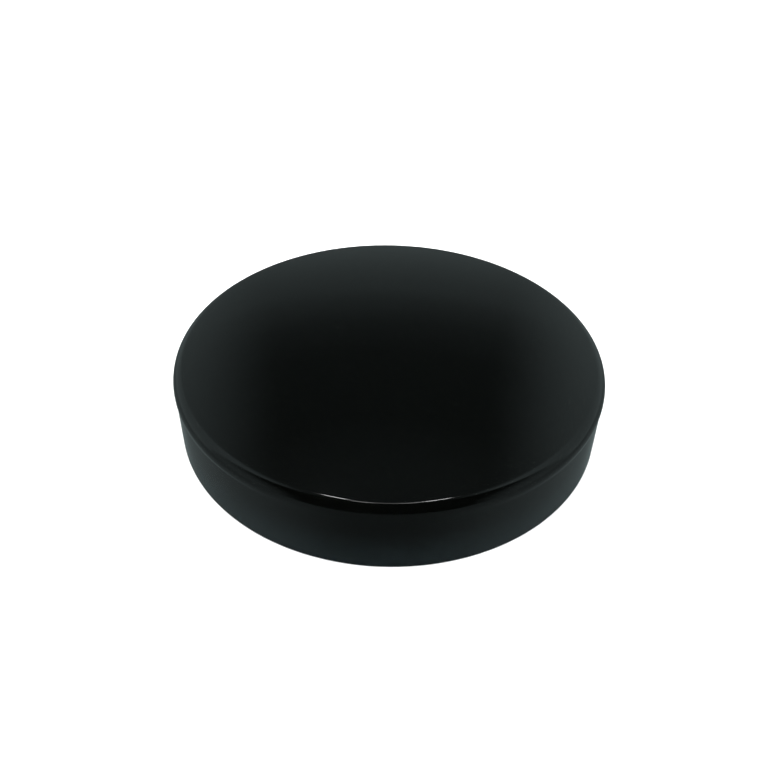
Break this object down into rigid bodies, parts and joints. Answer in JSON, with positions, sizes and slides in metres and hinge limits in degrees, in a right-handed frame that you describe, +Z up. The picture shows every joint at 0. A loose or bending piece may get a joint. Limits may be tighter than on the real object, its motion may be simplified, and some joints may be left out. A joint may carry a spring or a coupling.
{
  "type": "fence post cap",
  "caption": "Round domed cap that covers the open end of a round fence post, held by set screws in its skirt.",
  "frame": {"origin": "centre of the circle that the skirt's lower edge stands on", "axes": "+Z up through the top of the dome, X along the axis of the two set screws"},
  "size_m": [0.116, 0.116, 0.025],
  "materials": {
    "gloss_black_paint": "gloss",
    "black_plastic": "fine moulded texture",
    "grey_foam": "closed-cell foam",
    "zinc_steel": "zinc plated",
    "spring_steel": "oiled black spring steel",
    "stainless_steel": "bright stainless steel",
    "white_acetal": "satin moulded"
  },
  "bodies": {
    "cap": {"cap_shell": "gloss_black_paint", "grip_liner": "black_plastic", "post_seal": "grey_foam", "liner_stud": "zinc_steel", "push_nut": "spring_steel", "weld_nut_left": "zinc_steel", "weld_nut_right": "zinc_steel"},
    "left_pad": {"thrust_pad_left": "white_acetal"},
    "left_screw": {"set_screw_left": "stainless_steel"},
    "right_pad": {"thrust_pad_right": "white_acetal"},
    "right_screw": {"set_screw_right": "stainless_steel"}
  },
  "joints": [
    {"name": "left_clamp", "type": "slide", "parent": "cap", "child": "left_pad", "axis": [1, 0, 0], "range_m": [0, 0.002]},
    {"name": "left_screw_turn", "type": "hinge", "parent": "left_pad", "child": "left_screw", "pos_m": [-0.0555, 0, 0.00817], "axis": [1, 0, 0], "range_deg": [0, 720]},
    {"name": "right_clamp", "type": "slide", "parent": "cap", "child": "right_pad", "axis": [-1, 0, 0], "range_m": [0, 0.002]},
    {"name": "right_screw_turn", "type": "hinge", "parent": "right_pad", "child": "right_screw", "pos_m": [0.0555, 0, 0.00817], "axis": [-1, 0, 0], "range_deg": [0, 720]}
  ],
  "couplings": [
    {"joint": "left_screw_turn", "follows": "left_clamp", "rad_per_m": 6283.2},
    {"joint": "right_screw_turn", "follows": "right_clamp", "rad_per_m": 6283.2}
  ]
}
